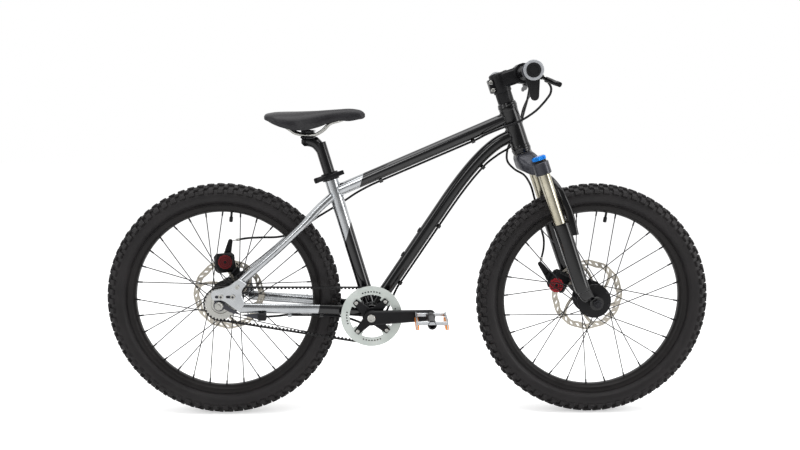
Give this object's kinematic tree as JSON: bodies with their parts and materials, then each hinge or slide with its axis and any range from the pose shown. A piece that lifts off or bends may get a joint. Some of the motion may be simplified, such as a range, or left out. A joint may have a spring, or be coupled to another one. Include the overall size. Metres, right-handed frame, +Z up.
{
  "type": "kids mountain bike",
  "caption": "Kids' mountain bike: black front frame on a brushed rear end, belt drive, suspension fork, wide knobbly tyres and cable disc brakes.",
  "frame": {"origin": "on the ground, midway between the two wheels, in the bike's middle plane", "axes": "+X forward along the bike, +Y to the rider's left, +Z up; the drive side faces -Y"},
  "size_m": [1.317, 0.5672, 0.7666],
  "materials": {
    "gloss_black_frame": "gloss black paint",
    "brushed_aluminium": "brushed and polished",
    "pulley_alloy": "pale satin anodising",
    "satin_black_metal": "satin black",
    "gunmetal": "dark grey metallic paint",
    "champagne_plating": "warm nickel plating",
    "blue_anodised": "blue anodising",
    "red_anodised": "red anodising",
    "steel": "bare and plated steel",
    "saddle_vinyl": "charcoal grained vinyl",
    "grip_rubber": "ribbed matte rubber",
    "black_plastic": "black moulded plastic",
    "belt_rubber": "matte black toothed belt",
    "tyre_rubber": "matte black rubber"
  },
  "bodies": {
    "frame": {"head_tube": "gloss_black_frame", "top_tube": "gloss_black_frame", "down_tube": "gloss_black_frame", "seat_tube": "gloss_black_frame", "bottom_bracket_shell": "gloss_black_frame", "headset_lower_cup": "satin_black_metal", "headset_upper_cup": "satin_black_metal", "chainstay_right": "brushed_aluminium", "chainstay_left": "brushed_aluminium", "seatstay_right": "brushed_aluminium", "seatstay_left": "brushed_aluminium", "axle_slider_right": "brushed_aluminium", "axle_slider_left": "brushed_aluminium", "rear_axle": "steel", "rear_caliper": "satin_black_metal", "seat_clamp": "satin_black_metal", "belt": "belt_rubber", "rear_brake_cable": "black_plastic", "shift_cable": "black_plastic"},
    "rear_wheel": {"rear_tyre": "tyre_rubber", "rear_rim": "satin_black_metal", "rear_hub": "satin_black_metal", "rear_rotor": "steel"},
    "driver": {"rear_sprocket": "steel"},
    "crank": {"front_pulley": "pulley_alloy", "crank_spindle": "steel", "crank_arm_right": "satin_black_metal", "crank_arm_left": "satin_black_metal"},
    "pedal_right": {"pedal_right": "brushed_aluminium"},
    "pedal_left": {"pedal_left": "brushed_aluminium"},
    "seat": {"seatpost": "gloss_black_frame", "saddle_rails": "steel", "saddle": "saddle_vinyl"},
    "seat_clamp_lever": {"seat_clamp_lever": "satin_black_metal"},
    "rear_caliper_arm": {"rear_caliper_arm": "satin_black_metal"},
    "rear_pad_knob": {"rear_pad_knob": "red_anodised"},
    "steering": {"fork_crown": "gunmetal", "stanchion_right": "champagne_plating", "stanchion_left": "champagne_plating", "stem": "satin_black_metal", "handlebar": "satin_black_metal", "grip_right": "grip_rubber", "grip_left": "grip_rubber", "brake_perch_right": "satin_black_metal", "brake_perch_left": "satin_black_metal", "shifter_body": "black_plastic", "front_brake_cable": "black_plastic"},
    "fork_knob": {"fork_knob": "blue_anodised"},
    "brake_lever_right": {"brake_lever_right": "satin_black_metal"},
    "brake_lever_left": {"brake_lever_left": "satin_black_metal"},
    "shifter_paddle": {"shifter_paddle": "black_plastic"},
    "front_wheel": {"front_tyre": "tyre_rubber", "front_rim": "satin_black_metal", "front_hub": "satin_black_metal", "front_rotor": "steel"},
    "front_caliper_arm": {"front_caliper_arm": "satin_black_metal"},
    "front_pad_knob": {"front_pad_knob": "red_anodised"},
    "lowers": {"fork_lowers": "gloss_black_frame", "front_axle": "steel", "front_caliper": "satin_black_metal"}
  },
  "joints": [
    {"name": "steering_turn", "type": "hinge", "parent": "frame", "child": "steering", "pos_m": [0.36095, 0, 0.24035], "axis": [-0.3256, 0, 0.9455], "range_deg": [-60, 60], "deforming": ["rear_brake_cable", "shift_cable"]},
    {"name": "fork_travel", "type": "slide", "parent": "steering", "child": "lowers", "axis": [-0.3256, 0, 0.9455], "range_m": [0, 0.045], "stiffness_N_per_m": 6000, "springref_m": -0.01, "deforming": ["front_brake_cable"]},
    {"name": "front_wheel_spin", "type": "hinge", "parent": "lowers", "child": "front_wheel", "pos_m": [0.4035, 0, 0.255], "axis": [0, 1, 0], "continuous": true},
    {"name": "rear_wheel_spin", "type": "hinge", "parent": "frame", "child": "rear_wheel", "pos_m": [-0.4035, 0, 0.255], "axis": [0, 1, 0], "continuous": true},
    {"name": "crank_spin", "type": "hinge", "parent": "frame", "child": "crank", "pos_m": [-0.081, 0, 0.2285], "axis": [0, 1, 0], "continuous": true},
    {"name": "driver_spin", "type": "hinge", "parent": "frame", "child": "driver", "pos_m": [-0.4035, 0, 0.255], "axis": [0, 1, 0], "continuous": true},
    {"name": "pedal_right_spin", "type": "hinge", "parent": "crank", "child": "pedal_right", "pos_m": [0.04388, 0, 0.23395], "axis": [0, 1, 0], "continuous": true},
    {"name": "pedal_left_spin", "type": "hinge", "parent": "crank", "child": "pedal_left", "pos_m": [-0.20588, 0, 0.22305], "axis": [0, 1, 0], "continuous": true},
    {"name": "seat_height", "type": "slide", "parent": "frame", "child": "seat", "axis": [-0.289, 0, 0.9573], "range_m": [-0.045, 0.08]},
    {"name": "seat_clamp_lever_open", "type": "hinge", "parent": "frame", "child": "seat_clamp_lever", "pos_m": [-0.19917, -0.013, 0.51612], "axis": [-0.289, 0, 0.9573], "range_deg": [-150, 0]},
    {"name": "fork_knob_turn", "type": "hinge", "parent": "steering", "child": "fork_knob", "pos_m": [0.38033, -0.0635, 0.24702], "axis": [-0.3256, 0, 0.9455], "range_deg": [0, 90]},
    {"name": "brake_lever_right_pull", "type": "hinge", "parent": "steering", "child": "brake_lever_right", "pos_m": [0.26989, -0.14455, 0.7279], "axis": [-0.4525, 0.0798, -0.8882], "range_deg": [0, 18], "stiffness_Nm_per_rad": 2, "springref_deg": -5.73},
    {"name": "brake_lever_left_pull", "type": "hinge", "parent": "steering", "child": "brake_lever_left", "pos_m": [0.26989, 0.14455, 0.7279], "axis": [0.4525, 0.0798, 0.8882], "range_deg": [0, 18], "stiffness_Nm_per_rad": 2, "springref_deg": -5.73},
    {"name": "shifter_paddle_push", "type": "hinge", "parent": "steering", "child": "shifter_paddle", "pos_m": [0.23349, -0.17739, 0.7435], "axis": [-0.1258, -0.9917, -0.025], "range_deg": [-25, 5], "stiffness_Nm_per_rad": 0.2},
    {"name": "front_caliper_arm_pull", "type": "hinge", "parent": "lowers", "child": "front_caliper_arm", "pos_m": [0.3195, 0, 0.295], "axis": [0, 1, 0], "range_deg": [0, 25]},
    {"name": "rear_caliper_arm_pull", "type": "hinge", "parent": "frame", "child": "rear_caliper_arm", "pos_m": [-0.4095, 0, 0.333], "axis": [0, 1, 0], "range_deg": [0, 25]},
    {"name": "front_pad_knob_turn", "type": "hinge", "parent": "lowers", "child": "front_pad_knob", "pos_m": [0.3313, 0, 0.2787], "axis": [0, 1, 0], "range_deg": [-180, 180]},
    {"name": "rear_pad_knob_turn", "type": "hinge", "parent": "frame", "child": "rear_pad_knob", "pos_m": [-0.4085, 0, 0.33], "axis": [0, 1, 0], "range_deg": [-180, 180]}
  ],
  "couplings": [
    {"joint": "driver_spin", "follows": "crank_spin", "ratio": 1.7143},
    {"joint": "rear_caliper_arm_pull", "follows": "brake_lever_right_pull", "ratio": 1.38},
    {"joint": "front_caliper_arm_pull", "follows": "brake_lever_left_pull", "ratio": 1.38}
  ]
}
